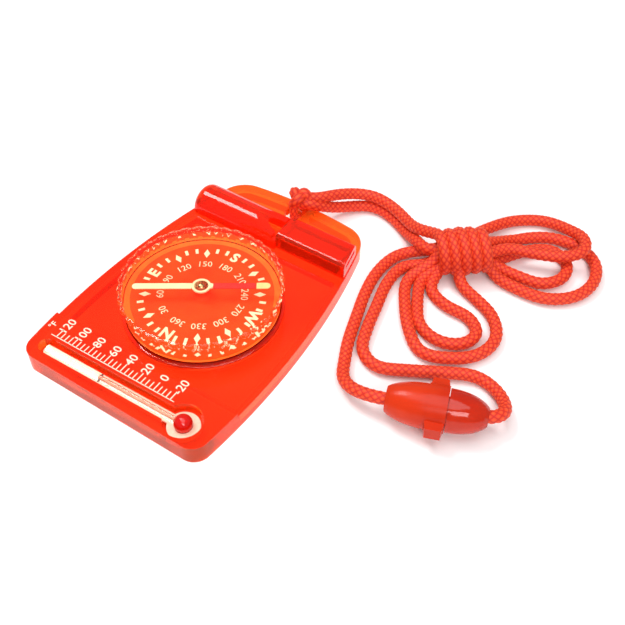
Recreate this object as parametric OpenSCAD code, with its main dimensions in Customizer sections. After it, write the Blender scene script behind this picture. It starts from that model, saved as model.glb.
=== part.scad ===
// Baseplate compass with a turning capsule, thermometer, whistle and corded lanyard.
// Millimetres. Origin: bottom centre of the plate. +Y towards the whistle, +Z up.

/* [Plate] */
// Length of the plate along Y
plate_l = 77.2; // [76:0.1:80]
// Greatest width of the plate
plate_w = 53.2; // [52:0.1:56]
// Height of the plate's main top face
plate_h = 4.0; // [3.9:0.05:4.1]
// Height of the raised thermometer section
raised_h = 5.0; // [4.8:0.1:5.4]
// Thickness of the outer skirt round the hollow underside
skirt_t = 2.2; // [1.6:0.1:2.6]
// Radius of the two front corners
front_r = 4.0; // [2:0.5:6]
// Radius of the two back corners
back_r = 7.5; // [5:0.5:9]

/* [Capsule] */
// Radius of the fluted bezel ring over its grips
bezel_r = 19.4; // [19:0.1:19.8]
// Number of grips round the bezel ring
grip_n = 36; // [24:1:48]
// Height of the top of the bezel ring
bezel_top = 11.6; // [11.4:0.1:12.4]
// Outer radius of the capsule's clear wall
wall_r = 18.3; // [18:0.1:18.5]

/* [Needle] */
// Half length of the needle
needle_r = 16.0; // [14:0.1:16.2]
// Width of the needle
needle_w = 1.7; // [1.2:0.1:2.2]
// Direction of the cream half, degrees from +X
needle_dir = 214; // [180:1:250]

/* [Whistle] */
// Outer radius of the half-round sound tube
tube_r = 5.0; // [4.8:0.1:5.2]
// Radius of the bore of the sound tube
bore_r = 2.8; // [2.4:0.1:3]
// Height of the mouthpiece above the plate
mouth_h = 4.4; // [4.2:0.1:4.8]

/* [Thermometer] */
// Radius of the glass bulb
bulb_r = 2.1; // [1.8:0.1:2.2]
// Slope of the thermometer across the plate, degrees
card_tilt = 1.2; // [0:0.1:1.5]

/* [Lanyard] */
// Diameter of the braided cord
cord_d = 2.9; // [2.6:0.1:3]
// Greatest radius of the clasp barrel
clasp_r = 5.0; // [4.8:0.1:5.2]

/* [Hidden] */
$fn = 72;
eps = 0.02;
side_r = 190;
side_y = -14.0;
side_x = side_r - plate_w / 2;
back_arc = 120;
back_y = plate_l / 2 - back_arc;
front_y = -plate_l / 2;
step_y = -25.6;
skin_z = plate_h - 2.0;
cap_y = -4.0;
cap_hole_r = 16.0;
cap_recess_r = 19.5;
recess_z = plate_h - 1.0;
tube_y = 25.5;
tube_x0 = -23.4;
tube_wall = 1.8;
win_x0 = -5.5;
win_x1 = 3.0;
bore_z = 5.2;
end_r = 2.2;
lip_x = 1.6;
lip_z = 7.0;
mouth_y0 = 21.3;
mouth_y1 = 29.7;
duct_y0 = 22.6;
duct_y1 = 28.4;
duct_z0 = 6.4;
duct_z1 = 7.4;
eye_x = -0.5;
eye_y = 34.2;
eye_r = 2.3;
thermo_y = -33.7;
bulb_x = 17.6;
card_x0 = -21.0;
card_z = 2.6;
card_t = 0.4;
card_w = 2.5;
stem_r = 0.9;
stem_z = card_z + card_t + stem_r;
spirit_x = -5.7;
spirit_r = 0.35;
cord_r = cord_d / 2;
ring_h = 1.8;
ring_z = bezel_top - ring_h;
floor_z = plate_h + 0.4;
dial_t = 0.3;
lens_z = bezel_top - 0.8;
lens_t = 0.6;
lens_r = 16.5;
hub_z = lens_z - 1.75;
hub_t = 0.6;
pin_r = 0.45;
pin_bore_r = 0.52;
clasp_c = [60.65, -0.94, 5.2];
clasp_turn = 20.3;
clasp_bore = cord_r + 0.3;

// Hand-chosen centre lines of the cord, in the plate's frame
lead_a = [[3, 39.3, 7.2], [6.2, 44.6, 6.2], [9.6, 49, 5], [13.6, 51, 4.6], [18.4, 50.6, 4.5],
          [27.8, 45.9, 5.4], [32.2, 43.6, 7.6], [36.4, 42.6, 8.6]];
lead_b = [[2.6, 37.1, 6.6], [6.6, 43.2, 3], [10, 48, 1.6], [13.8, 50.4, 1.6], [18.2, 50.2, 1.6],
          [27.6, 45.4, 2.4], [31.6, 42.3, 4.7], [36, 40, 5.6]];
loop_r1 = [[42.2, 51.7, 4.2], [44, 59.5, 2.6], [47.6, 66.1, 1.6], [54, 70.3, 1.6], [61, 69.3, 2.9],
          [66.4, 65.9, 4.9], [68, 61.9, 4.9], [64.2, 57.1, 4.8], [58.2, 54.5, 4.8], [50, 51.5, 5.2]];
loop_r2 = [[46.5, 51.3, 2], [50.4, 59.1, 1.6], [57, 64.9, 1.6], [65, 66.1, 1.6], [71, 63.1, 1.6],
          [73.4, 56.7, 1.6], [71.8, 49.9, 1.6], [66, 44.9, 1.6], [58.6, 44.1, 1.6], [50, 44.9, 2]];
loop_r3 = [[49.6, 49.3, 1.8], [54, 56.3, 1.6], [59.6, 61.1, 1.6], [65, 59.3, 1.6], [66.6, 53.9, 1.6],
          [63, 48.9, 1.6], [57.6, 48.1, 1.6], [50, 47.9, 1.8]];
loop_l1 = [[38, 42.3, 3.6], [32.6, 41.9, 1.8], [28.4, 37.6, 1.6], [27.4, 30.3, 1.6], [28.6, 22.7, 1.6],
          [33.6, 6.7, 1.6], [36.1, 1.3, 1.7], [38.4, -3.1, 2.6], [42.2, -5.8, 4.2], [47.33, -5.87, 5.2],
          [53.15, -3.72, 5.2]];
loop_l2 = [[36.6, 39.3, 1.8], [31.8, 35.3, 1.6], [31.4, 28.1, 1.6], [35.1, 12.7, 1.6], [37.6, 6.5, 1.6],
          [42.6, 4.2, 1.6], [48.6, 6.9, 1.6], [62.6, 14.2, 1.6], [67, 13.7, 1.6], [70.6, 11.4, 2.2],
          [72.7, 8.3, 3.4], [73, 5.6, 4.6], [71.6, 3.5, 5.1], [69, 2.15, 5.2], [66.75, 1.32, 5.2]];
loop_l3 = [[38.4, 38.1, 4.4], [35, 31.9, 1.8], [38.4, 24.7, 1.6], [43.4, 17.9, 1.6], [49, 13.5, 1.6],
          [55.6, 15.7, 1.6], [60.4, 20.1, 1.6], [61.6, 26.7, 1.6], [57.6, 32.7, 1.6], [51.4, 35.7, 1.6],
          [46.4, 37.5, 2.4]];
loop_l4 = [[40.4, 38.1, 2.8], [41, 32.5, 1.6], [46.8, 29.5, 1.6], [53.4, 29.1, 1.6], [57.4, 25.3, 1.6],
          [55.2, 20.3, 1.6], [49.4, 18.7, 1.6], [44.2, 21.1, 1.6], [41.6, 25.1, 1.6]];
loop_l5 = [[41.6, 25.1, 1.6], [39.4, 29.3, 1.6], [37.8, 33.7, 1.8], [39.4, 37.7, 3.2]];

function unit(v) = v / norm(v);
function tangent(p, i) = unit(p[min(i + 1, len(p) - 1)] - p[max(i - 1, 0)]);
function ring(p, i, r, n) =
  let (t = tangent(p, i), s = unit(cross([0, 0, 1], t)), u = cross(t, s))
  [for (k = [0:n - 1]) p[i] + r * (cos(360 * k / n) * s + sin(360 * k / n) * u)];

// One closed tube swept along the points of p
module cord(p, n = 8) {
  m = len(p);
  pts = [for (i = [0:m - 1]) each ring(p, i, cord_r, n)];
  walls = [for (i = [0:m - 2]) for (k = [0:n - 1])
    [i * n + k, (i + 1) * n + k, (i + 1) * n + (k + 1) % n, i * n + (k + 1) % n]];
  first = [for (k = [0:n - 1]) k];
  last = [for (k = [n - 1:-1:0]) (m - 1) * n + k];
  polyhedron(points = pts, faces = concat([first], walls, [last]));
}

// Where two circles of radius a about (0, 0) and b about (dx, dy) cross, on the side of +X or -X
function meet(a, b, dx, dy, s) =
  let (d = sqrt(dx * dx + dy * dy), h = (a * a - b * b + d * d) / (2 * d), w = sqrt(a * a - h * h))
  [(h * dx + s * w * dy) / d, (h * dy - s * w * dx) / d];

// The outline moved in by d, before its corners are rounded
module outline_raw(d) {
  intersection() {
    translate([-side_x, side_y]) circle(side_r - d, $fn = 360);
    translate([side_x, side_y]) circle(side_r - d, $fn = 360);
    translate([0, back_y]) circle(back_arc - d, $fn = 360);
    translate([-plate_w, front_y + d]) square([2 * plate_w, plate_l]);
  }
}

// Waste outside one front corner, for the corner at +X
module front_corner(d) {
  r = front_r - min(d, front_r - 1);
  cy = front_y + d + r;
  cx = -side_x + sqrt((side_r - d - r) * (side_r - d - r) - (cy - side_y) * (cy - side_y));
  difference() {
    polygon([[cx, cy], [cx, cy - 3 * r], [cx + 3 * r, cy - 3 * r], [cx + 3 * r, cy]]);
    translate([cx, cy]) circle(r);
  }
}

// Waste outside one back corner, for the corner at +X
module back_corner(d) {
  r = back_r - min(d, back_r - 1);
  c = meet(side_r - d - r, back_arc - d - r, side_x, back_y - side_y, -1) + [-side_x, side_y];
  a = unit([c[0] + side_x, c[1] - side_y]);
  b = unit([c[0], c[1] - back_y]);
  difference() {
    polygon([c, c + r * a, c + r * a + 2 * r * b + r * a, c + 3 * r * b + 2 * r * a, c + 3 * r * b,
             c + r * b]);
    translate(c) circle(r);
  }
}

module outline(d = 0) {
  difference() {
    outline_raw(d);
    for (s = [0, 1]) mirror([s, 0]) {
      front_corner(d);
      back_corner(d);
    }
  }
}

module at_card() {
  translate([0, thermo_y, 0]) rotate(card_tilt) children();
}

// The keyhole shape of the card, grown by g
module keyhole(g) {
  translate([bulb_x, 0]) circle(3.7 + g);
  translate([card_x0, -card_w / 2 - g]) square([bulb_x - card_x0, card_w + 2 * g]);
  translate([card_x0, 0]) circle(card_w / 2 + g);
}

module baseplate() {
  color([0.9, 0.2, 0.08]) difference() {
    union() {
      linear_extrude(plate_h) outline();
      linear_extrude(raised_h) intersection() {
        outline();
        translate([-plate_w, front_y - 1]) square([2 * plate_w, step_y - front_y + 1]);
      }
    }
    // hollow underside below the capsule
    translate([0, 0, -1]) linear_extrude(skin_z + 1) intersection() {
      outline(skirt_t);
      translate([-plate_w, step_y + 1.8]) square([2 * plate_w, 18.1 - step_y]);
    }
    // hollow underside of the back strip, and the gap in its skirt for the cord
    translate([0, 0, -1]) linear_extrude(skin_z + 1.2) intersection() {
      outline(skirt_t);
      translate([-plate_w, 31.7]) square([2 * plate_w, 20]);
    }
    translate([eye_x - 3.5, 33.7, -1]) cube([7, 10, skin_z + 1.2]);
    translate([eye_x, eye_y, -1]) cylinder(h = plate_h + 2, r = eye_r);
    // seat of the capsule
    translate([0, cap_y, -1]) cylinder(h = plate_h + 2, r = cap_hole_r);
    translate([0, cap_y, recess_z]) cylinder(h = 2, r = cap_recess_r, $fn = 120);
    // pocket of the thermometer
    at_card() {
      translate([0, 0, card_z]) linear_extrude(4) keyhole(0.8);
      translate([bulb_x, 0, stem_z - bulb_r - 0.1]) cylinder(h = 4, r = bulb_r + 0.2);
    }
    // lower half of the whistle's bore
    translate([tube_x0 + 3, tube_y, bore_z]) rotate([0, 90, 0]) cylinder(h = win_x1 - tube_x0 - 3, r = bore_r);
  }
}

// Quarter round at the closed end of the sound tube, as radius and place along X
rounded_end = [for (a = [0:10:90]) [tube_r - end_r * (1 - sin(a)), tube_x0 + end_r * (1 - cos(a))]];

module whistle_tube() {
  color([0.92, 0.16, 0.06]) difference() {
    intersection() {
      translate([0, tube_y, plate_h]) revolve_x(concat([[0, tube_x0]], rounded_end, [[tube_r, win_x1],
                                                        [0, win_x1]]));
      translate([tube_x0 - 1, tube_y - 10, plate_h]) cube([40, 20, 10]);
    }
    translate([tube_x0 + tube_wall, tube_y, bore_z]) rotate([0, 90, 0]) cylinder(h = 40, r = bore_r);
    // ramp of the window
    translate([0, tube_y + 10, 0]) rotate([90, 0, 0]) linear_extrude(20)
      polygon([[win_x0, plate_h + tube_r], [lip_x, lip_z], [lip_x, duct_z0], [win_x1 + 1, duct_z0],
               [win_x1 + 1, 12], [win_x0, 12]]);
  }
}

module mouth_profile() {
  r = 1.4;
  w = mouth_y1 - mouth_y0;
  difference() {
    square([w, mouth_h]);
    for (s = [0, 1]) translate([s * w, 0]) mirror([s, 0]) difference() {
      translate([-1, mouth_h - r]) square([1 + r, 2 * r]);
      translate([r, mouth_h - r]) circle(r);
    }
  }
}

module whistle_mouthpiece() {
  color([0.92, 0.16, 0.06]) difference() {
    intersection() {
      translate([win_x1, mouth_y0, plate_h]) rotate([90, 0, 90]) linear_extrude(30) mouth_profile();
      linear_extrude(20) outline(0.2);
    }
    translate([win_x1 + 1, duct_y0, plate_h]) cube([16.5, duct_y1 - duct_y0, duct_z1 - plate_h]);
    translate([win_x1 - 1, duct_y0, duct_z0]) cube([30, duct_y1 - duct_y0, duct_z1 - duct_z0]);
  }
}

module fipple_block() {
  color([0.85, 0.12, 0.05])
    translate([win_x1 + 1, duct_y0, plate_h]) cube([16.5, duct_y1 - duct_y0, duct_z0 - plate_h]);
}

module thermometer_card() {
  color([0.96, 0.9, 0.8]) at_card() translate([0, 0, card_z]) linear_extrude(card_t) difference() {
    keyhole(0);
    translate([bulb_x, 0]) circle(bulb_r - 0.1);
  }
}

module thermometer_stem() {
  color([0.95, 0.95, 0.95, 0.4]) at_card() difference() {
    translate([card_x0, 0, stem_z]) rotate([0, 90, 0]) cylinder(h = bulb_x - card_x0 - bulb_r + 0.2, r = stem_r);
    translate([spirit_x, 0, stem_z]) rotate([0, 90, 0]) cylinder(h = 40, r = spirit_r);
    translate([bulb_x, 0, stem_z]) sphere(bulb_r);
  }
}

module thermometer_spirit() {
  color([0.85, 0.1, 0.1]) at_card() difference() {
    translate([spirit_x, 0, stem_z]) rotate([0, 90, 0]) cylinder(h = bulb_x - spirit_x - bulb_r + 0.2, r = spirit_r);
    translate([bulb_x, 0, stem_z]) sphere(bulb_r);
  }
}

module thermometer_bulb() {
  color([0.8, 0.05, 0.05]) at_card() translate([bulb_x, 0, stem_z]) sphere(bulb_r);
}

module at_cap() {
  translate([0, cap_y, 0]) children();
}

module capsule_cup() {
  color([1, 0.55, 0.35, 0.5]) at_cap() {
    translate([0, 0, skin_z - 0.3]) cylinder(h = recess_z + 0.3 - skin_z + 0.3, r = cap_hole_r - 0.4);
    translate([0, 0, recess_z + 0.3]) cylinder(h = 0.6, r = cap_recess_r - 0.3);
    difference() {
      translate([0, 0, recess_z + 0.3]) cylinder(h = ring_z - recess_z - 0.3, r = wall_r, $fn = 120);
      translate([0, 0, floor_z]) cylinder(h = 20, r = wall_r - 1.4, $fn = 120);
    }
  }
}

module capsule_retainer() {
  color([0.92, 0.2, 0.1]) at_cap() translate([0, 0, skin_z - 0.9]) difference() {
    cylinder(h = 0.6, r = cap_hole_r + 1.4);
    translate([0, 0, -1]) cylinder(h = 3, r = cap_hole_r - 4);
  }
}

module dial_disc() {
  color([0.95, 0.35, 0.1]) at_cap() translate([0, 0, floor_z]) cylinder(h = dial_t, r = wall_r - 1.5);
}

module bezel_ring() {
  color([1, 0.5, 0.25, 0.6]) at_cap() difference() {
    union() {
      translate([0, 0, ring_z]) cylinder(h = ring_h, r = bezel_r - 0.6, $fn = 120);
      for (k = [0:grip_n - 1]) rotate(360 * k / grip_n)
        translate([bezel_r - 1.5, -0.95, ring_z + 0.2]) cube([1.5, 1.9, ring_h - 0.4]);
    }
    translate([0, 0, ring_z - 1]) cylinder(h = 4, r = lens_r - 0.5);
    translate([0, 0, lens_z]) cylinder(h = 4, r = lens_r);
  }
}

module capsule_lens() {
  color([1, 0.9, 0.85, 0.3]) at_cap() translate([0, 0, lens_z]) cylinder(h = lens_t, r = lens_r);
}

module pivot_post() {
  z0 = floor_z + dial_t;
  color([0.95, 0.4, 0.15]) at_cap() translate([0, 0, z0]) difference() {
    rotate_extrude() polygon([[0, 0], [2.2, 0], [1.4, 0.6], [0.9, hub_z - 0.4 - z0], [0, hub_z - 0.4 - z0]]);
    translate([0, 0, 1]) cylinder(h = 10, r = pin_r);
  }
}

module pivot_pin() {
  z0 = floor_z + dial_t + 1;
  color([0.7, 0.7, 0.72]) at_cap() translate([0, 0, z0]) cylinder(h = hub_z + 0.85 - z0, r = pin_r);
}

// Half of the needle from radius a to b, with a round end
module blade(a, b, w = needle_w, t = 0.3) {
  translate([a, -w / 2, 0]) cube([b - w / 2 - a, w, t]);
  translate([b - w / 2, 0, 0]) cylinder(h = t, r = w / 2);
}

module at_needle(turn) {
  translate([0, cap_y, hub_z + 0.15]) rotate(needle_dir + turn) children();
}

module needle_north() {
  color([0.97, 0.93, 0.82]) at_needle(0) blade(2.2, needle_r);
}

module needle_south() {
  color([0.85, 0.05, 0.08]) at_needle(180) blade(2.75, needle_r - 3.2);
}

module needle_tip() {
  color([0.72, 0.85, 0.55]) at_needle(180) difference() {
    blade(needle_r - 3.2, needle_r, needle_w + 0.1);
    translate([needle_r - 4.05, 0, -1]) cylinder(h = 3, r = needle_w / 2);
  }
}

module needle_hub() {
  color([0.97, 0.93, 0.82]) translate([0, cap_y, hub_z]) rotate(needle_dir + 180) difference() {
    union() {
      cylinder(h = hub_t, r = 2.2);
      linear_extrude(hub_t) polygon([[-1, -1], [0, -1.7], [2.75, -0.55], [2.75, 0.55], [0, 1.7], [-1, 1]]);
    }
    translate([0, 0, -1]) cylinder(h = 3, r = pin_bore_r);
  }
}

module needle_cap() {
  color([0.72, 0.62, 0.35]) translate([0, cap_y, hub_z + hub_t]) difference() {
    intersection() {
      translate([0, 0, -1.1]) sphere(2.0);
      cylinder(h = 3, r = 3);
    }
    translate([0, 0, -1]) cylinder(h = 1.4, r = pin_bore_r);
  }
}

// Round knot on the back strip, with the flattened cord that runs down through the eye
module lanyard_knot() {
  color([0.9, 0.22, 0.08]) {
    translate([-0.3, 36.7, 7.5]) sphere(3.3);
    translate([eye_x, eye_y, 1.3]) cylinder(h = 5, r = 1.3);
    translate([eye_x, eye_y, 1.3]) sphere(1.1);
    translate([eye_x, eye_y, 1.3]) rotate([-90, 0, 0]) cylinder(h = 6.9, r = 0.75);
    translate([eye_x, 40.9, 1.3]) sphere(1.1);
    translate([eye_x, 40.9, 1.3]) cylinder(h = 5, r = 1.1);
    translate([eye_x, 40.9, 6.3]) sphere(1.1);
    translate([eye_x, 37.1, 6.3]) rotate([-90, 0, 0]) cylinder(h = 3.8, r = 1.1);
  }
}

// Outer shape of the wrapped bundle
module lanyard_bundle() {
  color([0.88, 0.2, 0.08]) translate([43.3, 43.7, 6.4]) rotate([0, 90, 38]) {
    translate([0, 0, -7]) cylinder(h = 14, r = 4.8);
    for (k = [-2:2]) translate([0, 0, 2.9 * k]) rotate_extrude() translate([4.6 - 0.25 * abs(k), 0]) circle(1.6);
  }
}

// Frame of the clasp: +X along its axis, from the socket half to the plug half
module at_clasp() {
  translate(clasp_c) rotate([0, 0, clasp_turn]) children();
}

module revolve_x(p) {
  rotate([0, 90, 0]) rotate_extrude() polygon(p);
}

module clasp_socket() {
  color([0.9, 0.15, 0.07]) at_clasp() difference() {
    revolve_x(concat([[0, -11]], [for (t = [0:0.1:1]) [2.8 + 2.15 * sin(90 * pow(t, 0.75)), -11 + 8.8 * t]],
                     [[4.95, 2.2], [0, 2.2]]));
    translate([-12, 0, 0]) rotate([0, 90, 0]) cylinder(h = 12, r = clasp_bore);
    translate([-3.5, 0, 0]) rotate([0, 90, 0]) cylinder(h = 10, r = 3.3);
  }
}

module clasp_collar() {
  color([0.92, 0.18, 0.08]) at_clasp() difference() {
    union() {
      translate([-2.2, 0, 0]) rotate([0, 90, 0]) cylinder(h = 4.4, r = 5.2);
      translate([0, 0, -1.6]) linear_extrude(3.2)
        polygon([[-2.1, -4.9], [-1.7, -7], [1.7, -7], [2.1, -4.9], [2.1, 4.9], [1.7, 7], [-1.7, 7], [-2.1, 4.9]]);
    }
    translate([-4, 0, 0]) rotate([0, 90, 0]) cylinder(h = 10, r = 4.95);
  }
}

module clasp_plug() {
  color([0.9, 0.12, 0.07]) at_clasp() difference() {
    union() {
      revolve_x(concat([[0, 2.35]], [for (t = [0:0.1:1]) [4.8 * sqrt(1 - pow(0.91 * t, 2.2)), 2.35 + 8.65 * t]],
                       [[0, 11]]));
      translate([0, 0, 0]) rotate([0, 90, 0]) cylinder(h = 4, r = 3.0);
    }
    translate([5, 0, 0]) rotate([0, 90, 0]) cylinder(h = 20, r = cord_r + 0.05);
  }
}

module lanyard_lead_a() { color([0.9, 0.22, 0.08]) cord(lead_a); }
module lanyard_lead_b() { color([0.9, 0.22, 0.08]) cord(lead_b); }
module lanyard_loop_r1() { color([0.9, 0.22, 0.08]) cord(loop_r1); }
module lanyard_loop_r2() { color([0.9, 0.22, 0.08]) cord(loop_r2); }
module lanyard_loop_r3() { color([0.9, 0.22, 0.08]) cord(loop_r3); }
module lanyard_loop_l1() { color([0.9, 0.22, 0.08]) cord(loop_l1); }
module lanyard_loop_l2() { color([0.9, 0.22, 0.08]) cord(loop_l2); }
module lanyard_loop_l3() { color([0.9, 0.22, 0.08]) cord(loop_l3); }
module lanyard_loop_l4() { color([0.9, 0.22, 0.08]) cord(concat(loop_l4, [for (i = [1:3]) loop_l5[i]])); }

baseplate();
whistle_tube();
whistle_mouthpiece();
fipple_block();
thermometer_card();
thermometer_stem();
thermometer_spirit();
thermometer_bulb();
capsule_cup();
capsule_retainer();
dial_disc();
bezel_ring();
capsule_lens();
pivot_post();
pivot_pin();
needle_north();
needle_south();
needle_tip();
needle_hub();
needle_cap();
lanyard_knot();
lanyard_lead_a();
lanyard_lead_b();
lanyard_bundle();
lanyard_loop_r1();
lanyard_loop_r2();
lanyard_loop_r3();
lanyard_loop_l1();
lanyard_loop_l2();
lanyard_loop_l3();
lanyard_loop_l4();
clasp_socket();
clasp_collar();
clasp_plug();
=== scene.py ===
"""Looks of the baseplate compass: braided cord, clear capsule, printed marks and translucent plastic."""

import math

import bpy
import numpy as np
from mathutils import Matrix, Vector


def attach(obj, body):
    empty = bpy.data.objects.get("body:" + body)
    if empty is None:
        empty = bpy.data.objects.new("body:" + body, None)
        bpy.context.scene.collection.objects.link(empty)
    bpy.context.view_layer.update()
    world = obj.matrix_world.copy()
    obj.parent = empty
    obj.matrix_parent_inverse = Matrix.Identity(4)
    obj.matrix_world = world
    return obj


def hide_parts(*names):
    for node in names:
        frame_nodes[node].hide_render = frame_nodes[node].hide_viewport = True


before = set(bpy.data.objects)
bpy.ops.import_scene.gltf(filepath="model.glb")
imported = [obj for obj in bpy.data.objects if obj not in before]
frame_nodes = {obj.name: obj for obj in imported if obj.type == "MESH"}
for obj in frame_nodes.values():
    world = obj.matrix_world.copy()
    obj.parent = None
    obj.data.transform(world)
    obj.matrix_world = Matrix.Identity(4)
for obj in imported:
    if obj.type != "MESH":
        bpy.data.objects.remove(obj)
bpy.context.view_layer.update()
MM = 0.001
# Centre of the capsule along Y, mm
CAP_Y = -4.0
# Where the thin strip at the back of the plate begins, m
BACK_STRIP_Y = 0.0302
CAMERA_AZIMUTH, CAMERA_ELEVATION = math.radians(33.73), math.radians(47.83)
CAMERA_PLACE = (0.1041, -0.1136, 0.1656)
CAMERA_LENS = 53.6

# ---------------------------------------------------------------- camera


def make_camera():
    az, el = CAMERA_AZIMUTH, CAMERA_ELEVATION
    right = Vector((math.cos(az), math.sin(az), 0))
    back = Vector((math.sin(az) * math.cos(el), -math.cos(az) * math.cos(el), math.sin(el)))
    up = back.cross(right)
    data = bpy.data.cameras.new("camera")
    data.lens, data.sensor_width = CAMERA_LENS, 36
    data.clip_start = 0.005
    obj = bpy.data.objects.new("camera", data)
    bpy.context.scene.collection.objects.link(obj)
    turn = Matrix((right, up, back)).transposed().to_4x4()
    obj.matrix_world = Matrix.Translation(CAMERA_PLACE) @ turn
    bpy.context.scene.camera = obj


make_camera()

# ---------------------------------------------------------------- node helpers


class Nodes:
    """A small helper that builds one procedural material."""

    def __init__(self, name):
        self.mat = bpy.data.materials.new(name)
        self.mat.use_nodes = True
        self.tree = self.mat.node_tree
        self.tree.nodes.clear()
        self.out = self.tree.nodes.new("ShaderNodeOutputMaterial")

    def add(self, kind, _props=None, **sockets):
        n = self.tree.nodes.new(kind)
        for k, v in (_props or {}).items():
            setattr(n, k, v)
        for k, v in sockets.items():
            self.put(n, k.replace("_", " "), v)
        return n

    def put(self, n, key, v):
        s = n.inputs[int(key)] if key.isdigit() else n.inputs[key]
        if isinstance(v, bpy.types.NodeSocket):
            self.tree.links.new(v, s)
        else:
            s.default_value = v

    def math(self, op, a, b=0.0, c=0.0):
        n = self.tree.nodes.new("ShaderNodeMath")
        n.operation = op
        for s, v in zip(n.inputs, (a, b, c)):
            if isinstance(v, bpy.types.NodeSocket):
                self.tree.links.new(v, s)
            else:
                s.default_value = v
        return n.outputs[0]

    def ramp(self, fac, stops):
        n = self.tree.nodes.new("ShaderNodeValToRGB")
        el = n.color_ramp.elements
        while len(el) < len(stops):
            el.new(0.5)
        for e, (p, c) in zip(el, stops):
            e.position, e.color = p, (*c, 1)
        self.tree.links.new(fac, n.inputs[0])
        return n.outputs[0]

    def bump(self, height, strength, distance):
        n = self.add("ShaderNodeBump", Height=height)
        n.inputs["Strength"].default_value = strength
        n.inputs["Distance"].default_value = distance
        return n.outputs[0]

    def noise(self, scale, detail=3.0, vector=None):
        n = self.add("ShaderNodeTexNoise")
        n.inputs["Scale"].default_value = scale
        n.inputs["Detail"].default_value = detail
        v = vector or self.add("ShaderNodeTexCoord").outputs["Object"]
        self.tree.links.new(v, n.inputs["Vector"])
        return n.outputs["Fac"]

    def finish(self, shader):
        self.tree.links.new(shader.outputs[0], self.out.inputs["Surface"])
        return self.mat


def clear_plastic(name, light, deep, rough, transmission, ior=1.49, scale=45.0, spec=0.5, thin_and_lit_wall_colour=None):
    """Tinted clear plastic. The paler colour is the thinner plastic of the back strip, and painted light on
    upright walls, which it makes paler by their slope.
    """
    n = Nodes(name)
    cloud = n.noise(scale, 2.0)
    colour = n.ramp(cloud, [(0.35, deep), (0.65, light)])
    if thin_and_lit_wall_colour:
        coord = n.add("ShaderNodeTexCoord")
        nz = n.add("ShaderNodeSeparateXYZ", Vector=coord.outputs["Normal"]).outputs[2]
        y = n.add("ShaderNodeSeparateXYZ", Vector=coord.outputs["Object"]).outputs[1]
        # Painted light: upright walls take the paler colour by their slope, to brighten them; the back
        # strip takes it for its thinner plastic.
        wall = n.math("SUBTRACT", 1.0, n.math("SMOOTH_MIN", n.math("ABSOLUTE", nz), 1.0, 0.2))
        past = n.math("MAXIMUM", n.math("SUBTRACT", y, BACK_STRIP_Y), 0.0)
        back = n.math("SMOOTH_MIN", n.math("MULTIPLY", past, 900.0), 0.9, 0.1)
        part = n.math("MINIMUM", n.math("MAXIMUM", n.math("MULTIPLY", wall, 0.85), back), 1.0)
        mix = n.add("ShaderNodeMix", {"data_type": "RGBA"})
        n.tree.links.new(part, mix.inputs[0])
        n.tree.links.new(colour, mix.inputs[6])
        mix.inputs[7].default_value = (*thin_and_lit_wall_colour, 1)
        colour = mix.outputs[2]
    scuff = n.noise(scale * 40, 3.0)
    r = n.math("MULTIPLY_ADD", scuff, 0.06, rough)
    s = n.add("ShaderNodeBsdfPrincipled", Base_Color=colour, Roughness=r)
    s.inputs["IOR"].default_value = ior
    s.inputs["Transmission Weight"].default_value = transmission
    s.inputs["Specular IOR Level"].default_value = spec
    n.put(s, "Normal", n.bump(n.noise(scale * 9, 1.0), 0.08, 0.0002))
    return n.finish(s)


def paint(name, light, deep, rough=0.45, scale=900.0, bump=0.1, metallic=0.0, spec=0.4):
    n = Nodes(name)
    grain = n.noise(scale, 4.0)
    colour = n.ramp(grain, [(0.3, deep), (0.7, light)])
    r = n.math("MULTIPLY_ADD", n.noise(scale * 0.4, 2.0), 0.15, rough - 0.07)
    s = n.add("ShaderNodeBsdfPrincipled", Base_Color=colour, Roughness=r)
    s.inputs["Metallic"].default_value = metallic
    s.inputs["Specular IOR Level"].default_value = spec
    n.put(s, "Normal", n.bump(grain, bump, 0.0001))
    return n.finish(s)


# Filaments drawn across one yarn of the braid
FILAMENTS = 5


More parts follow.
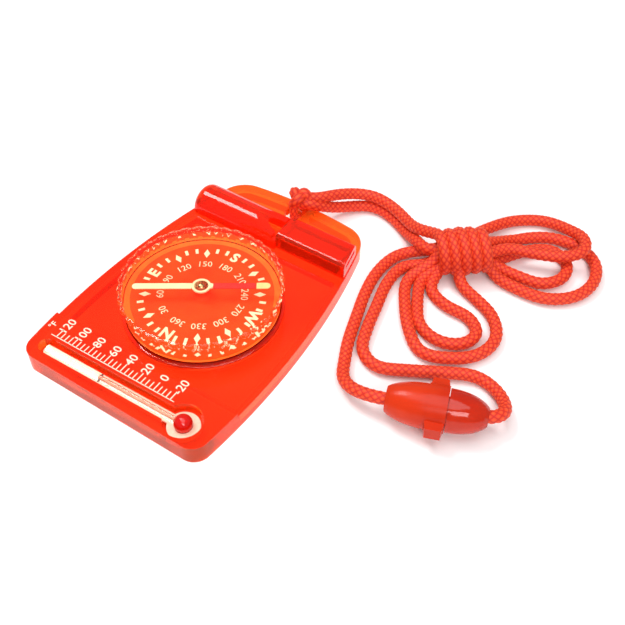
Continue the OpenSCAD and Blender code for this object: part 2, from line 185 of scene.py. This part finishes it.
def braid_cloth():
    """Plaited polyester: two families of yarns, with fine filaments along each, and painted light: lighter
    yarn crowns, darker valleys between them, and one family of yarns a little lighter.
    """
    n = Nodes("braid_polyester_painted_shade")
    uv = n.add("ShaderNodeUVMap").outputs["UV"]
    xyz = n.add("ShaderNodeSeparateXYZ", Vector=uv)
    a = n.math("ADD", xyz.outputs[0], xyz.outputs[1])
    b = n.math("SUBTRACT", xyz.outputs[0], xyz.outputs[1])
    cell = n.math("ADD", n.math("FLOOR", a), n.math("FLOOR", b))
    odd = n.math("PINGPONG", cell, 1.0)
    even = n.math("SUBTRACT", 1.0, odd)
    across = n.math("ADD", n.math("MULTIPLY", a, odd), n.math("MULTIPLY", b, even))
    fibre = n.math("SINE", n.math("MULTIPLY", across, 2 * math.pi * FILAMENTS))
    fa = n.math("SINE", n.math("MULTIPLY", n.math("FRACT", a), math.pi))
    fb = n.math("SINE", n.math("MULTIPLY", n.math("FRACT", b), math.pi))
    rise = n.math("POWER", n.math("MULTIPLY", fa, fb), 0.5)
    mottle = n.noise(700.0, 3.0)
    # Colour painted lighter on the yarn crowns and darker in the valleys between them, as painted highlight
    # and painted shade, with a real mottle from the noise.
    tone = n.math("ADD", n.math("MULTIPLY", rise, 0.75), n.math("MULTIPLY", mottle, 0.25))
    # One family of yarns is painted a little lighter than the other, as painted shading by yarn direction.
    tone = n.math("ADD", tone, n.math("MULTIPLY", odd, 0.06))
    colour = n.ramp(tone, [(0.05, (0.48, 0.008, 0.002)), (0.55, (0.74, 0.024, 0.005)),
                           (0.95, (0.97, 0.10, 0.016))])
    h = n.math("ADD", n.math("MULTIPLY", fibre, 0.25), mottle)
    s = n.add("ShaderNodeBsdfPrincipled", Base_Color=colour)
    s.inputs["Roughness"].default_value = 0.62
    s.inputs["Sheen Weight"].default_value = 0.15
    s.inputs["Sheen Tint"].default_value = (1.0, 0.35, 0.15, 1)
    n.put(s, "Normal", n.bump(h, 0.35, 0.00008))
    return n.finish(s)


# ---------------------------------------------------------------- cord

# Radius of the cord, yarns round it, and the length along it of one yarn's step, mm
CORD_R = 1.45
BRAID_N, BRAID_PITCH = 6, 1.6
# Centre of the hank and its directions along, across and up
HANK_C = np.array((43.3, 43.7, 6.4))
HANK_DIR = np.array((math.cos(math.radians(38)), math.sin(math.radians(38)), 0.0))
HANK_SIDE = np.array((-HANK_DIR[1], HANK_DIR[0], 0.0))
HANK_UP = np.array((0.0, 0.0, 1.0))

lead_a = [[0.4, 37.4, 7.8], [3, 39.3, 7.2], [6.2, 44.6, 6.2], [9.6, 49, 5], [13.6, 51, 4.6],
          [18.4, 50.6, 4.5], [23.4, 48.6, 4.7], [27.8, 45.9, 5.4], [32.2, 43.6, 7.6]]
lead_b = [[0.2, 36.4, 6.9], [2.6, 37.1, 6.6], [6.6, 43.2, 3], [10, 48, 1.6], [13.8, 50.4, 1.6],
          [18.2, 50.2, 1.6], [23.2, 48.2, 1.7], [27.6, 45.4, 2.4], [31.6, 42.3, 4.7], [36, 40, 5.6]]
loop_r1 = [[42.2, 51.7, 4.2], [44, 59.5, 2.6], [47.6, 66.1, 1.6], [54, 70.3, 1.6], [61, 69.3, 2.9],
           [66.4, 65.9, 4.9], [68, 61.9, 4.9], [64.2, 57.1, 4.8], [58.2, 54.5, 4.8], [51.5, 51.7, 5.2]]
loop_r2 = [[46.5, 51.3, 2], [50.4, 59.1, 1.6], [57, 64.9, 1.6], [65, 66.1, 1.6], [71, 63.1, 1.6],
           [73.4, 56.7, 1.6], [71.8, 49.9, 1.6], [66, 44.9, 1.6], [58.6, 44.1, 1.6], [52, 44.9, 2]]
loop_r3 = [[49.6, 49.3, 1.8], [54, 56.3, 1.6], [59.6, 61.1, 1.6], [65, 59.3, 1.6], [66.6, 53.9, 1.6],
           [63, 48.9, 1.6], [57.6, 48.1, 1.6], [52, 47.9, 1.8]]
loop_l1 = [[35.6, 43.0, 3.2], [31.6, 41.5, 1.8], [28.4, 37.6, 1.6], [27.4, 30.3, 1.6], [28.6, 22.7, 1.6],
           [31.0, 14.7, 1.6], [33.6, 6.7, 1.6], [36.1, 1.3, 1.7], [38.4, -3.1, 2.6], [42.2, -5.8, 4.2],
           [47.33, -5.87, 5.2], [53.15, -3.72, 5.2]]
loop_l2 = [[36.6, 39.3, 1.8], [31.8, 35.3, 1.6], [31.4, 28.1, 1.6], [33.2, 20.3, 1.6], [35.1, 12.7, 1.6],
           [37.6, 6.5, 1.6], [42.6, 4.2, 1.6], [48.6, 6.9, 1.6], [55.6, 10.8, 1.6], [62.6, 14.2, 1.6],
           [67, 13.7, 1.6], [70.6, 11.4, 2.2], [72.7, 8.3, 3.4], [73, 5.6, 4.6], [71.6, 3.5, 5.1],
           [69, 2.15, 5.2], [66.75, 1.32, 5.2]]
loop_l3 = [[38.4, 38.1, 4.4], [35, 31.9, 1.8], [38.4, 24.7, 1.6], [43.4, 17.9, 1.6], [49, 13.5, 1.6],
           [55.6, 15.7, 1.6], [60.4, 20.1, 1.6], [61.6, 26.7, 1.6], [57.6, 32.7, 1.6], [51.4, 35.7, 1.6],
           [46.4, 37.5, 2.4]]
loop_l4 = [[40.4, 38.1, 2.8], [41, 32.5, 1.6], [46.8, 29.5, 1.6], [53.4, 29.1, 1.6], [57.4, 25.3, 1.6],
           [55.2, 20.3, 1.6], [49.4, 18.7, 1.6], [44.2, 21.1, 1.6], [41.6, 25.1, 1.6], [39.4, 29.3, 1.6],
           [37.8, 33.7, 1.8], [39.4, 37.7, 3.2]]


def in_hank(t, k, forward=True):
    """Points of one pass through the hank, in hexagonal place k (6: centre), up to t either way."""
    ang = math.radians(60 * k + 15)
    off = (0 if k == 6 else 1.9) * (math.cos(ang) * HANK_SIDE + math.sin(ang) * HANK_UP)
    ts = [-t, 0, t] if forward else [t, 0, -t]
    return [list(HANK_C + off + x * HANK_DIR) for x in ts]


def wraps(turns, radius, half):
    """The turns round the hank: over it from the left end, and ending under it at the right end."""
    pts = []
    count = int(14 * turns)
    for i in range(count + 1):
        ang = math.radians(45 + 360 * turns * i / count)
        t = -half + 2 * half * i / count
        r = radius - 0.25 * abs(t) / 2.9
        out = math.cos(ang) * HANK_SIDE + math.sin(ang) * HANK_UP
        pts.append(list(HANK_C + t * HANK_DIR + r * out))
    return pts


def smooth_path(points, step=0.27, sigma=1.6):
    """A centripetal Catmull-Rom curve through the points, evenly spaced, with its kinks rounded."""
    p = np.array(points, float)
    p = np.vstack([2 * p[0] - p[1], p, 2 * p[-1] - p[-2]])
    out = []
    for i in range(1, len(p) - 2):
        a, b, c, d = p[i - 1:i + 3]
        t0 = 0.0
        t1 = t0 + np.linalg.norm(b - a) ** 0.5
        t2 = t1 + np.linalg.norm(c - b) ** 0.5
        t3 = t2 + np.linalg.norm(d - c) ** 0.5
        t = np.linspace(t1, t2, 40, endpoint=False)[:, None]
        a1 = (t1 - t) / (t1 - t0) * a + (t - t0) / (t1 - t0) * b
        a2 = (t2 - t) / (t2 - t1) * b + (t - t1) / (t2 - t1) * c
        a3 = (t3 - t) / (t3 - t2) * c + (t - t2) / (t3 - t2) * d
        b1 = (t2 - t) / (t2 - t0) * a1 + (t - t0) / (t2 - t0) * a2
        b2 = (t3 - t) / (t3 - t1) * a2 + (t - t1) / (t3 - t1) * a3
        out.append((t2 - t) / (t2 - t1) * b1 + (t - t1) / (t2 - t1) * b2)
    q = np.vstack(out + [p[-2][None]])
    q = evenly(q, step)
    half = int(3 * sigma / step)
    kernel = np.exp(-0.5 * (np.arange(-half, half + 1) * step / sigma) ** 2)
    kernel /= kernel.sum()
    head = 2 * q[0] - q[half:0:-1]
    tail = 2 * q[-1] - q[-2:-half - 2:-1]
    padded = np.vstack([head, q, tail])
    soft = np.stack([np.convolve(padded[:, k], kernel, "valid") for k in range(3)], 1)
    return evenly(soft, step)


def evenly(q, step):
    """Points every step along the line q."""
    seg = np.linalg.norm(np.diff(q, axis=0), axis=1)
    s = np.concatenate([[0], np.cumsum(seg)])
    n = max(2, int(round(s[-1] / step)))
    at = np.linspace(0, s[-1], n + 1)
    return np.stack([np.interp(at, s, q[:, k]) for k in range(3)], 1)


def frames_along(q):
    """Side and up directions at each point of q, carried along without twist."""
    t = np.gradient(q, axis=0)
    t /= np.linalg.norm(t, axis=1)[:, None]
    side = np.cross(t[0], (0, 0, 1.0))
    side /= np.linalg.norm(side)
    sides = []
    for v in t:
        side = side - v * np.dot(side, v)
        side /= np.linalg.norm(side)
        sides.append(side)
    sides = np.array(sides)
    return sides, np.cross(t, sides)


def braid_tube(name, q, radius=CORD_R, around=30, relief=0.22, floor=True):
    """A closed tube along q with the relief of a plaited braid, and UVs that count its yarns."""
    sides, ups = frames_along(q)
    length = np.concatenate([[0], np.cumsum(np.linalg.norm(np.diff(q, axis=0), axis=1))])
    ang = np.arange(around) / around
    u = BRAID_N * ang[None, :]
    v = (length / BRAID_PITCH)[:, None]
    fa, fb = np.modf(u + v + 1000)[0], np.modf(u - v + 100000)[0]
    bump = np.sqrt(np.abs(np.sin(math.pi * fa) * np.sin(math.pi * fb)))
    r = radius - relief * 0.72 + relief * bump
    c, s = np.cos(2 * math.pi * ang)[None, :, None], np.sin(2 * math.pi * ang)[None, :, None]
    co = q[:, None, :] + r[:, :, None] * (c * sides[:, None, :] + s * ups[:, None, :])
    if floor:
        co[:, :, 2] = np.maximum(co[:, :, 2], 0.02)
    n = len(q)
    verts = np.vstack([co.reshape(-1, 3), q[:1], q[-1:]]) * MM
    faces, uvs = [], []
    for i in range(n - 1):
        v0, v1 = length[i] / BRAID_PITCH, length[i + 1] / BRAID_PITCH
        for k in range(around):
            k1 = (k + 1) % around
            row, above = i * around, (i + 1) * around
            faces.append((row + k, row + k1, above + k1, above + k))
            u0, u1 = BRAID_N * k / around, BRAID_N * (k + 1) / around
            uvs += [(u0, v0), (u1, v0), (u1, v1), (u0, v1)]
    for end, first in ((n * around, 0), (n * around + 1, (n - 1) * around)):
        for k in range(around):
            k1 = (k + 1) % around
            faces.append((end, first + k1, first + k) if first == 0 else (end, first + k, first + k1))
            uvs += [(0.5, 0.5)] * 3
    mesh = bpy.data.meshes.new(name)
    mesh.from_pydata([tuple(p) for p in verts], [], faces)
    layer = mesh.uv_layers.new(name="UVMap")
    layer.data.foreach_set("uv", [x for p in uvs for x in p])
    mesh.polygons.foreach_set("use_smooth", [True] * len(faces))
    mesh.update()
    obj = bpy.data.objects.new(name, mesh)
    bpy.context.scene.collection.objects.link(obj)
    return obj


BRAID = braid_cloth()


def make_cord(name, points, replaced):
    q = smooth_path(points)
    q[:, 2] = np.maximum(q[:, 2], CORD_R + 0.02)
    obj = braid_tube(name, q)
    obj.data.materials.append(BRAID)
    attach(obj, "plate")
    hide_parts(*replaced)


cord_a_points = lead_a + wraps(4.6, 4.9, 5.8) + in_hank(4.5, 6, False) + loop_l1
cord_b_points = (lead_b + in_hank(4, 0) + loop_r2[1:] + in_hank(4, 1, False) + loop_l3
                 + in_hank(4, 2)[1:] + loop_r1 + in_hank(4, 3, False) + loop_l4 + in_hank(4, 4)
                 + loop_r3 + in_hank(4, 5, False) + loop_l2)
make_cord("cord_a", cord_a_points, ["lanyard_lead_a", "lanyard_loop_l1", "lanyard_bundle"])
make_cord("cord_b", cord_b_points,
          ["lanyard_lead_b", "lanyard_loop_r1", "lanyard_loop_r2", "lanyard_loop_r3",
           "lanyard_loop_l2", "lanyard_loop_l3", "lanyard_loop_l4"])


# Middle of the knot on the back strip, and its size across and upwards, mm
KNOT_C = (-0.3, 36.7, 7.4)
KNOT_SIZE, KNOT_RISE = 0.777, 1.25


def make_knot():
    """A knot on the back strip, and the strand that runs through the eye and round the edge."""
    pts = []
    for i in range(40):
        s = 2 * math.pi * i / 40
        x = math.sin(s) + 1.6 * math.sin(2 * s)
        y = math.cos(s) - 1.6 * math.cos(2 * s)
        z = -KNOT_RISE * math.sin(3 * s)
        pts.append((KNOT_C[0] + x * KNOT_SIZE, KNOT_C[1] + y * KNOT_SIZE, KNOT_C[2] + z))
    pts.append(pts[0])
    knot = braid_tube("knot_turns", evenly(np.array(pts), 0.3), radius=1.42, relief=0.24, floor=False)
    loop_pts = [(-0.3, 36.0, 7.0), (-0.5, 34.4, 5.6), (-0.5, 34.2, 3.4), (-0.5, 34.4, 1.8),
                (-0.5, 36.0, 1.15), (-0.5, 38.6, 1.15), (-0.5, 40.5, 1.4), (-0.5, 41.0, 3.0),
                (-0.5, 40.8, 5.2), (-0.5, 39.4, 6.3), (-0.4, 37.4, 7.0)]
    loop = braid_tube("knot_loop", smooth_path(loop_pts, 0.3, 0.5), radius=1.05, relief=0.18, floor=False)
    for o in (knot, loop):
        o.data.materials.append(BRAID)
    bpy.ops.object.select_all(action="DESELECT")
    knot.select_set(True)
    loop.select_set(True)
    bpy.context.view_layer.objects.active = knot
    bpy.ops.object.join()
    knot.name = "cord_knot"
    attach(knot, "plate")
    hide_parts("lanyard_knot")


make_knot()

# ---------------------------------------------------------------- capsule


def mesh_object(name, verts, faces, mat, body, smooth=True, angle=35):
    mesh = bpy.data.meshes.new(name)
    mesh.from_pydata(verts, [], faces)
    mesh.update()
    obj = bpy.data.objects.new(name, mesh)
    bpy.context.scene.collection.objects.link(obj)
    mesh.materials.append(mat)
    if smooth:
        mesh.polygons.foreach_set("use_smooth", [True] * len(faces))
        mesh.set_sharp_from_angle(angle=math.radians(angle))
    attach(obj, body)
    return obj


def place_round(radius, angle):
    """Metres in X and Y of a point round the capsule's axis, from a radius in mm."""
    return radius * math.cos(angle) * MM, (CAP_Y + radius * math.sin(angle)) * MM


CLEAR = clear_plastic("capsule_clear", (1.0, 0.66, 0.42), (1.0, 0.60, 0.36), 0.0, 1.0, ior=1.40,
                      scale=60, spec=0.3)

# Grips round the bezel ring
FLUTES = 36
# Height, radius and depth of the flutes for each row of the capsule's outside, mm
CAPSULE_ROWS = [(1.75, 15.2, 0), (1.95, 15.55, 0), (3.3, 15.6, 0), (3.3, 19.0, 0), (3.4, 19.15, 0),
                (3.8, 19.15, 0), (3.9, 19.0, 0), (4.0, 18.5, 0), (4.3, 18.3, 0), (9.5, 18.3, 0),
                (9.8, 18.5, 0.1), (10.0, 18.95, 0.2), (10.3, 19.15, 0.2), (11.2, 19.15, 0.2),
                (11.45, 19.05, 0.18), (11.55, 18.85, 0.1), (11.6, 18.5, 0.05), (11.6, 18.0, 0)]


def capsule_shell():
    """The cup, ring and lens as one clear solid, so that light passes it as one moulding."""
    around = 8 * FLUTES
    verts, faces = [], []
    for z, r, flute in CAPSULE_ROWS:
        for k in range(around):
            a = 2 * math.pi * k / around
            wave = max(-1.0, min(1.0, 1.6 * math.cos(FLUTES * a)))
            verts.append((*place_round(r + flute * wave, a), z * MM))
    rows = len(CAPSULE_ROWS)
    for i in range(rows - 1):
        for k in range(around):
            k1 = (k + 1) % around
            row, above = i * around, (i + 1) * around
            faces.append((row + k, row + k1, above + k1, above + k))
    faces.append(tuple(range(around - 1, -1, -1)))
    faces.append(tuple((rows - 1) * around + k for k in range(around)))
    obj = mesh_object("capsule_body", verts, faces, CLEAR, "bezel", angle=28)
    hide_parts("capsule_cup", "bezel_ring", "capsule_lens")
    obj.visible_shadow = False


capsule_shell()

PRINT = paint("cream_print", (1.0, 0.82, 0.66), (0.98, 0.74, 0.58), 0.5)
# Height of the dial's marks, mm, and the direction of its north mark, degrees from +X
DIAL_Z = 4.72
NORTH = 273.3
LETTERS = {0: "N", 90: "E", 180: "S", 270: "W"}
LETTER_SIZE, LETTER_BOLD, NUMBER_SIZE = 3.9, 0.16, 2.45
# Radii on which the dial's marks stand, mm
LETTER_R, DIAMOND_R, BAR_R, NUMBER_R = 13.9, 13.45, 14.4, 9.9
BAR_SIZE = (0.72, 1.55)
DIAMOND = [(0, -1.45), (0.75, 0), (0, 1.45), (-0.75, 0)]


def text_mesh(text, size, bold=0.0):
    """Outline points and faces of a line of text, centred on its own middle."""
    data = bpy.data.curves.new("t", "FONT")
    data.body, data.size = text, size
    data.align_x, data.align_y = "CENTER", "CENTER"
    data.offset = bold
    data.resolution_u = 3
    obj = bpy.data.objects.new("t", data)
    bpy.context.scene.collection.objects.link(obj)
    mesh = bpy.data.meshes.new_from_object(obj.evaluated_get(bpy.context.evaluated_depsgraph_get()))
    bpy.data.objects.remove(obj)
    verts = [tuple(v.co) for v in mesh.vertices]
    faces = [tuple(p.vertices) for p in mesh.polygons]
    xs, ys = [v[0] for v in verts], [v[1] for v in verts]
    cx, cy = (min(xs) + max(xs)) / 2, (min(ys) + max(ys)) / 2
    bpy.data.meshes.remove(mesh)
    return [(x - cx, y - cy) for x, y, *_ in verts], faces


class Print:
    """Flat printed marks gathered into one mesh."""

    def __init__(self):
        self.verts, self.faces = [], []

    def put(self, pts, faces, x, y, turn, z):
        n = len(self.verts)
        c, s = math.cos(math.radians(turn)), math.sin(math.radians(turn))
        self.verts += [((x + c * px - s * py) * MM, (y + s * px + c * py) * MM, z * MM)
                       for px, py in pts]
        self.faces += [tuple(n + i for i in f) for f in faces]

    def shape(self, pts, x, y, turn, z):
        self.put(pts, [tuple(range(len(pts)))], x, y, turn, z)

    def bar(self, w, h, x, y, turn, z):
        self.shape([(-w / 2, -h / 2), (w / 2, -h / 2), (w / 2, h / 2), (-w / 2, h / 2)], x, y, turn, z)

    def text(self, words, size, bold, x, y, turn, z):
        self.put(*text_mesh(words, size, bold), x, y, turn, z)


def dial_print():
    p = Print()
    for bearing in range(0, 360, 10):
        a = NORTH - bearing
        c, s = math.cos(math.radians(a)), math.sin(math.radians(a))

        def at(radius):
            return radius * c, CAP_Y + radius * s, a - 90, DIAL_Z

        if bearing in LETTERS:
            p.text(LETTERS[bearing], LETTER_SIZE, LETTER_BOLD, *at(LETTER_R))
        elif bearing % 30 == 0:
            p.shape(DIAMOND, *at(DIAMOND_R))
        else:
            p.bar(*BAR_SIZE, *at(BAR_R))
        if bearing % 30 == 0:
            p.text(str(bearing or 360), NUMBER_SIZE, 0.0, *at(NUMBER_R))
    mesh_object("dial_print", p.verts, p.faces, PRINT, "bezel", smooth=False)


dial_print()


def dial_margin():
    """The pale orange band round the dial, between it and the capsule's wall."""
    verts, faces, around = [], [], 144
    for r, z in ((16.82, 4.6), (18.15, 4.75)):
        for k in range(around):
            verts.append((*place_round(r, 2 * math.pi * k / around), z * MM))
    for k in range(around):
        k1 = (k + 1) % around
        faces.append((k, around + k, around + k1, k1))
    margin = paint("dial_margin", (1.0, 0.17, 0.022), (0.95, 0.12, 0.016), 0.5, scale=200,
                   spec=0.1)
    mesh_object("dial_margin", verts, faces, margin, "bezel")


dial_margin()


# Height of the printed scale, the ends of its base line, and its ticks, mm
SCALE_Z = 5.03
SCALE_FROM, SCALE_TO = (-22.5, -31.2), (13.0, -30.6)
LINE_W, TICK_W, LONG_TICK, SHORT_TICK = 0.22, 0.26, 2.5, 1.9
FIRST_TICK, TWENTY_DEGREES, TICKS_PER_TWENTY = 1.5, 4.7, 4
SCALE_NUMBERS = ("120", "100", "80", "60", "40", "20", "0", "-20")


def scale_print():
    p = Print()
    (x0, y0), (x1, y1) = SCALE_FROM, SCALE_TO
    tilt = math.degrees(math.atan2(y1 - y0, x1 - x0))
    along = math.hypot(x1 - x0, y1 - y0)
    p.bar(along, LINE_W, (x0 + x1) / 2, (y0 + y1) / 2, tilt, SCALE_Z)
    ux, uy = math.cos(math.radians(tilt)), math.sin(math.radians(tilt))

    def at(d, up):
        return x0 + ux * d - uy * up, y0 + uy * d + ux * up

    for i in range(TICKS_PER_TWENTY * (len(SCALE_NUMBERS) - 1) + 1):
        h = SHORT_TICK if i % TICKS_PER_TWENTY else LONG_TICK
        d = FIRST_TICK + i * TWENTY_DEGREES / TICKS_PER_TWENTY
        p.bar(TICK_W, h, *at(d, h / 2), tilt, SCALE_Z)
    for i, number in enumerate(SCALE_NUMBERS):
        p.text(number, 3.0, 0.03, *at(FIRST_TICK + i * TWENTY_DEGREES, 4.0), tilt + 90, SCALE_Z)
    p.text("°F", 2.2, 0.03, -24.3, -28.9, tilt + 90, SCALE_Z)
    mesh_object("scale_print", p.verts, p.faces, PRINT, "plate", smooth=False)


scale_print()


def spirit_mark():
    """The dark meniscus at the top of the thermometer's spirit."""
    p = Print()
    x, tilt = -5.7, 1.2
    p.bar(0.45, 1.7, x, -33.7 + x * math.tan(math.radians(tilt)), tilt, 3.08)
    dark = paint("meniscus", (0.08, 0.02, 0.01), (0.05, 0.01, 0.01), 0.4)
    mesh_object("spirit_mark", p.verts, p.faces, dark, "plate", smooth=False)


spirit_mark()

# ---------------------------------------------------------------- materials of the CAD nodes

# The plate's paler colour is painted light on its upright walls, and the thinner plastic of its back strip.
PLATE = clear_plastic("plate_plastic", (0.84, 0.046, 0.007), (0.78, 0.030, 0.006), 0.02, 0.72,
                      ior=1.33, scale=30, spec=0.3, thin_and_lit_wall_colour=(0.92, 0.15, 0.016))
WHISTLE = clear_plastic("whistle_plastic", (0.88, 0.060, 0.008), (0.80, 0.040, 0.006), 0.02, 0.80,
                        ior=1.42, scale=40)
DIAL = paint("dial_orange", (0.92, 0.070, 0.008), (0.86, 0.050, 0.006), 0.6, scale=200, bump=0.05, spec=0.1)
CARD = paint("card_cream", (0.90, 0.68, 0.52), (0.84, 0.58, 0.42), 0.7, scale=1500, spec=0.1)
CREAM = paint("needle_cream", (1.0, 0.86, 0.68), (0.95, 0.80, 0.60), 0.4)
RED = paint("needle_red", (0.75, 0.012, 0.018), (0.60, 0.008, 0.012), 0.35)
LUME = paint("needle_tip", (0.60, 0.78, 0.42), (0.50, 0.70, 0.34), 0.5)
BRASS = paint("brass", (0.62, 0.60, 0.42), (0.34, 0.32, 0.18), 0.14, scale=1600, metallic=1.0, bump=0.25)
STEEL = paint("steel", (0.75, 0.75, 0.76), (0.6, 0.6, 0.62), 0.25, metallic=1.0)
GLASS = clear_plastic("stem_glass", (1.0, 0.97, 0.95), (0.98, 0.94, 0.92), 0.0, 1.0, ior=1.3, scale=80)
SPIRIT = paint("spirit", (0.95, 0.42, 0.27), (0.85, 0.32, 0.20), 0.3)
BULB = clear_plastic("bulb_red", (0.85, 0.010, 0.006), (0.72, 0.007, 0.004), 0.02, 0.1, scale=90)
SATIN = clear_plastic("clasp_satin", (0.86, 0.050, 0.008), (0.74, 0.028, 0.005), 0.22, 0.30,
                      ior=1.38, scale=60, spec=0.3)
GLOSSY = clear_plastic("clasp_glossy", (0.86, 0.046, 0.008), (0.70, 0.024, 0.005), 0.04, 0.40,
                       ior=1.42, scale=60)

NODE_MATERIALS = {
    "baseplate": PLATE, "capsule_retainer": PLATE,
    "whistle_tube": WHISTLE, "whistle_mouthpiece": WHISTLE, "fipple_block": WHISTLE,
    "dial_disc": DIAL, "pivot_post": DIAL, "pivot_pin": STEEL,
    "needle_north": CREAM, "needle_south": RED, "needle_tip": LUME, "needle_hub": CREAM,
    "needle_cap": BRASS,
    "thermometer_card": CARD, "thermometer_stem": GLASS, "thermometer_spirit": SPIRIT,
    "thermometer_bulb": BULB,
    "clasp_socket": SATIN, "clasp_collar": SATIN, "clasp_plug": GLOSSY,
}
for node, mat in NODE_MATERIALS.items():
    frame_nodes[node].data.materials.clear()
    frame_nodes[node].data.materials.append(mat)


def soften(node, width, segments=2):
    """Round a node's sharp edges, by a width in mm."""
    m = frame_nodes[node].modifiers.new("edge", "BEVEL")
    m.width, m.segments = width * MM, segments
    m.limit_method, m.angle_limit = "ANGLE", math.radians(35)
    m.harden_normals = False


soften("baseplate", 0.45, 3)
soften("whistle_tube", 0.25)
soften("whistle_mouthpiece", 0.25)
soften("clasp_collar", 0.35, 3)
soften("clasp_socket", 0.25)
soften("clasp_plug", 0.3)
# Light passes these clear pieces to what lies below them, in place of caustics
for node in ("baseplate", "whistle_tube", "whistle_mouthpiece", "fipple_block", "thermometer_stem"):
    frame_nodes[node].visible_shadow = False

# ---------------------------------------------------------------- floor and light


WORLD_LIGHT = 0.30
FLOOR_HALF = 3.0


def make_floor():
    mesh = bpy.data.meshes.new("floor")
    s = FLOOR_HALF
    mesh.from_pydata([(-s, -s, 0), (s, -s, 0), (s, s, 0), (-s, s, 0)], [], [(0, 1, 2, 3)])
    obj = bpy.data.objects.new("floor", mesh)
    bpy.context.scene.collection.objects.link(obj)
    obj.location.z = -0.0001
    n = Nodes("floor_white")
    tone = n.ramp(n.noise(30.0, 2.0), [(0.3, (0.94, 0.94, 0.94)), (0.7, (0.96, 0.96, 0.96))])
    shader = n.add("ShaderNodeBsdfPrincipled", Base_Color=tone)
    shader.inputs["Roughness"].default_value = 0.8
    shader.inputs["Specular IOR Level"].default_value = 0.2
    obj.data.materials.append(n.finish(shader))


def area(name, place, aim, size, power):
    """A rectangular lamp at a place, turned to its aim, with its size in metres and power in watts."""
    data = bpy.data.lights.new(name, "AREA")
    data.shape, data.size, data.size_y, data.energy = "RECTANGLE", size[0], size[1], power
    obj = bpy.data.objects.new(name, data)
    bpy.context.scene.collection.objects.link(obj)
    obj.location = place
    look = Vector(aim) - Vector(place)
    obj.rotation_euler = look.to_track_quat("-Z", "Y").to_euler()


make_floor()
world = bpy.data.worlds.new("studio")
world.use_nodes = True
background = world.node_tree.nodes["Background"]
background.inputs["Color"].default_value = (1, 1, 1, 1)
background.inputs["Strength"].default_value = WORLD_LIGHT
bpy.context.scene.world = world
area("overhead", (0.12, -0.04, 1.15), (0.06, -0.02, 0), (0.9, 0.9), 6.6)
area("side", (-0.33, 0.03, 0.62), (0.0, 0.02, 0), (0.22, 0.20), 2.1)
area("front", (0.42, -0.40, 0.50), (0.02, 0.01, 0), (0.35, 0.25), 2.4)
bpy.context.scene.view_settings.view_transform = "Standard"
